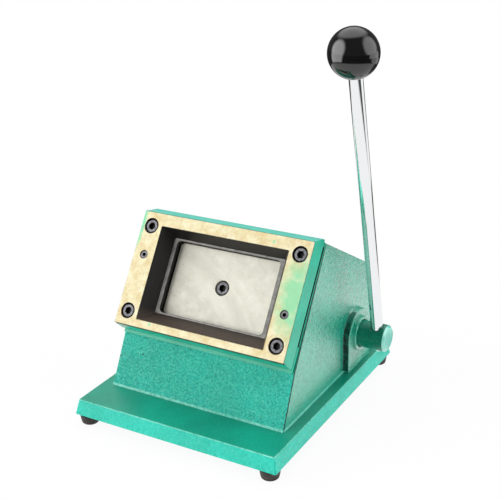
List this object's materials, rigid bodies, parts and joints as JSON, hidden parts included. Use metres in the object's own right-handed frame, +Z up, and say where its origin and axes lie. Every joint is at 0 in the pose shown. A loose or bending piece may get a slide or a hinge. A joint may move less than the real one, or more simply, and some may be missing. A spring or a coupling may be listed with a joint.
{
  "type": "hand-lever card cutter",
  "caption": "Bench die cutter: a hand lever turns a cam that drives a punch through a tilted die block to cut out a rounded card.",
  "frame": {"origin": "on the table under the middle of the object's outline seen from above", "axes": "+X to the operator's right, +Y away from the operator, +Z up; the die face looks towards -Y and +Z"},
  "size_m": [0.1905, 0.1978, 0.2852],
  "materials": {
    "green_enamel": "glossy turquoise-green enamel on cast metal",
    "ground_die_steel": "ground, straw-tinted tool steel",
    "ground_punch_steel": "ground tool steel",
    "machined_steel": "turned and milled steel",
    "black_oxide_steel": "black oxide",
    "spring_steel": "drawn spring steel",
    "bearing_bronze": "turned bearing bronze",
    "polished_chrome": "polished chrome",
    "black_phenolic": "polished black phenolic",
    "black_rubber": "matt moulded rubber"
  },
  "bodies": {
    "frame": {"base_plate": "green_enamel", "body_casting": "green_enamel", "die_block": "ground_die_steel", "guide_plate": "green_enamel", "shaft_bush_left": "green_enamel", "shaft_bush_right": "green_enamel", "rubber_foot_1": "black_rubber", "rubber_foot_2": "black_rubber", "rubber_foot_3": "black_rubber", "rubber_foot_4": "black_rubber", "foot_screw_1": "machined_steel", "foot_screw_2": "machined_steel", "foot_screw_3": "machined_steel", "foot_screw_4": "machined_steel", "base_screw_1": "black_oxide_steel", "base_screw_2": "black_oxide_steel", "base_screw_3": "black_oxide_steel", "base_screw_4": "black_oxide_steel", "die_screw_1": "black_oxide_steel", "die_screw_2": "black_oxide_steel", "die_screw_3": "black_oxide_steel", "die_screw_4": "black_oxide_steel", "die_dowel_1": "machined_steel", "die_dowel_2": "machined_steel", "guide_pin_1": "machined_steel", "guide_pin_2": "machined_steel", "stop_washer_1": "machined_steel", "stop_washer_2": "machined_steel", "stop_nut_1": "machined_steel", "stop_nut_2": "machined_steel", "return_spring_1": "spring_steel", "return_spring_2": "spring_steel"},
    "ram": {"ram": "machined_steel", "punch": "ground_punch_steel", "punch_screw": "black_oxide_steel", "punch_dowel_1": "machined_steel", "punch_dowel_2": "machined_steel", "guide_bush_1": "bearing_bronze", "guide_bush_2": "bearing_bronze", "roller_pin": "machined_steel"},
    "roller": {"cam_roller": "machined_steel"},
    "lever": {"lever_shaft": "green_enamel", "cam": "machined_steel", "cam_key": "machined_steel", "cam_set_screw": "black_oxide_steel", "retaining_ring": "spring_steel", "lever_rod": "polished_chrome", "ball_knob": "black_phenolic"}
  },
  "joints": [
    {"name": "lever_turn", "type": "hinge", "parent": "frame", "child": "lever", "pos_m": [-0.01235, 0.0496, 0.0454], "axis": [1, 0, 0], "range_deg": [0, 70]},
    {"name": "ram_slide", "type": "slide", "parent": "frame", "child": "ram", "axis": [0, -0.8387, 0.5446], "range_m": [0, 0.006], "stiffness_N_per_m": 16000, "springref_m": -0.004, "deforming": ["return_spring_1", "return_spring_2"]},
    {"name": "roller_spin", "type": "hinge", "parent": "ram", "child": "roller", "pos_m": [-0.01235, 0.02862, 0.06083], "axis": [1, 0, 0], "range_deg": [-119, 3]}
  ],
  "couplings": [
    {"joint": "ram_slide", "follows": "lever_turn", "m_per_rad": 0.0049111},
    {"joint": "roller_spin", "follows": "lever_turn", "ratio": -1.654}
  ]
}
